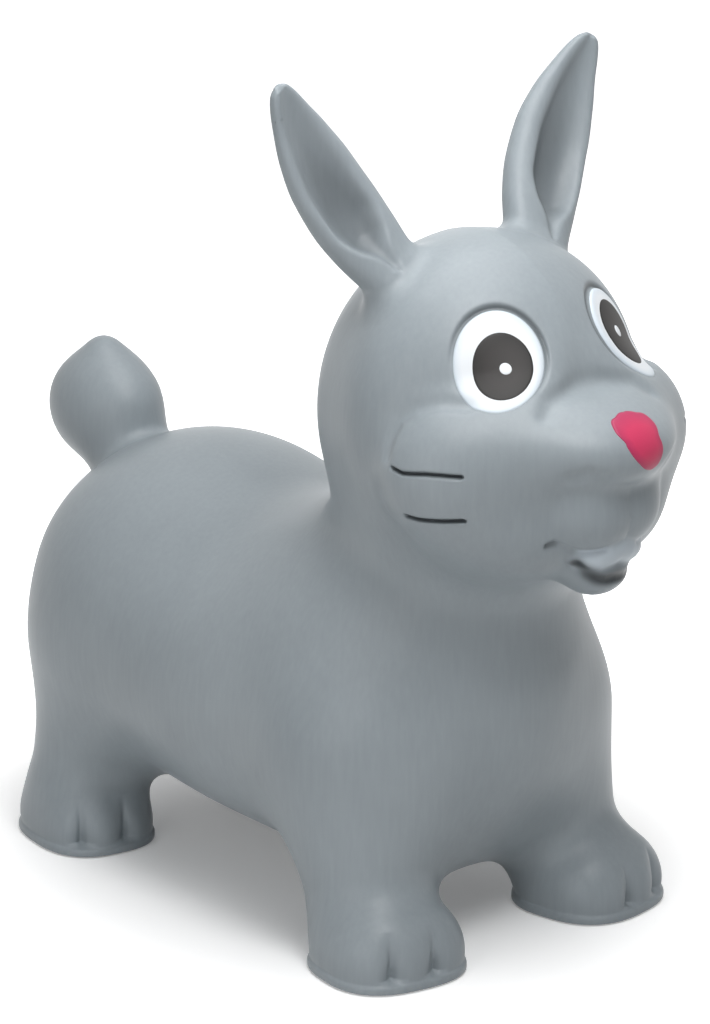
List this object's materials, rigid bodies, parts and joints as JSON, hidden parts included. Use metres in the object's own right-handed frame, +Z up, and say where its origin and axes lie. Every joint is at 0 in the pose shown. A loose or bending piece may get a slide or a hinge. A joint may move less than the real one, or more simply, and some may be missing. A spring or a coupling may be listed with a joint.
{
  "type": "inflatable animal hopper",
  "caption": "Inflatable jumping rabbit in soft grey plastic: rounded hollow body on short legs, upright ears to hold, painted eyes and nose, push-in valve plug under the belly.",
  "frame": {"origin": "on the floor between the four soles, under the middle of the overall length and width", "axes": "+Z up; the rabbit faces -Y; +X is its left side"},
  "size_m": [0.2552, 0.5426, 0.5304],
  "materials": {
    "skin": "satin, rotationally moulded soft PVC",
    "eye_white_paint": "sprayed vinyl paint",
    "pupil_paint": "sprayed vinyl paint",
    "light_spot_paint": "sprayed vinyl paint",
    "nose_paint": "sprayed vinyl paint",
    "valve_seat": "moulded flexible PVC",
    "valve_plug": "moulded polyethylene"
  },
  "bodies": {
    "hopper": {"torso_skin": "skin", "head_skin": "skin", "ear_skin_left": "skin", "ear_skin_right": "skin", "tail_skin": "skin", "front_leg_left": "skin", "front_leg_right": "skin", "rear_leg_left": "skin", "rear_leg_right": "skin", "eye_white_left": "eye_white_paint", "eye_white_right": "eye_white_paint", "pupil_left": "pupil_paint", "pupil_right": "pupil_paint", "eye_glint_left": "light_spot_paint", "eye_glint_right": "light_spot_paint", "nose_paint": "nose_paint", "valve_seat": "valve_seat"},
    "plug": {"valve_plug": "valve_plug"}
  },
  "joints": [
    {"name": "plug_pull", "type": "slide", "parent": "hopper", "child": "plug", "axis": [0, 0, -1], "range_m": [0, 0.016]}
  ]
}
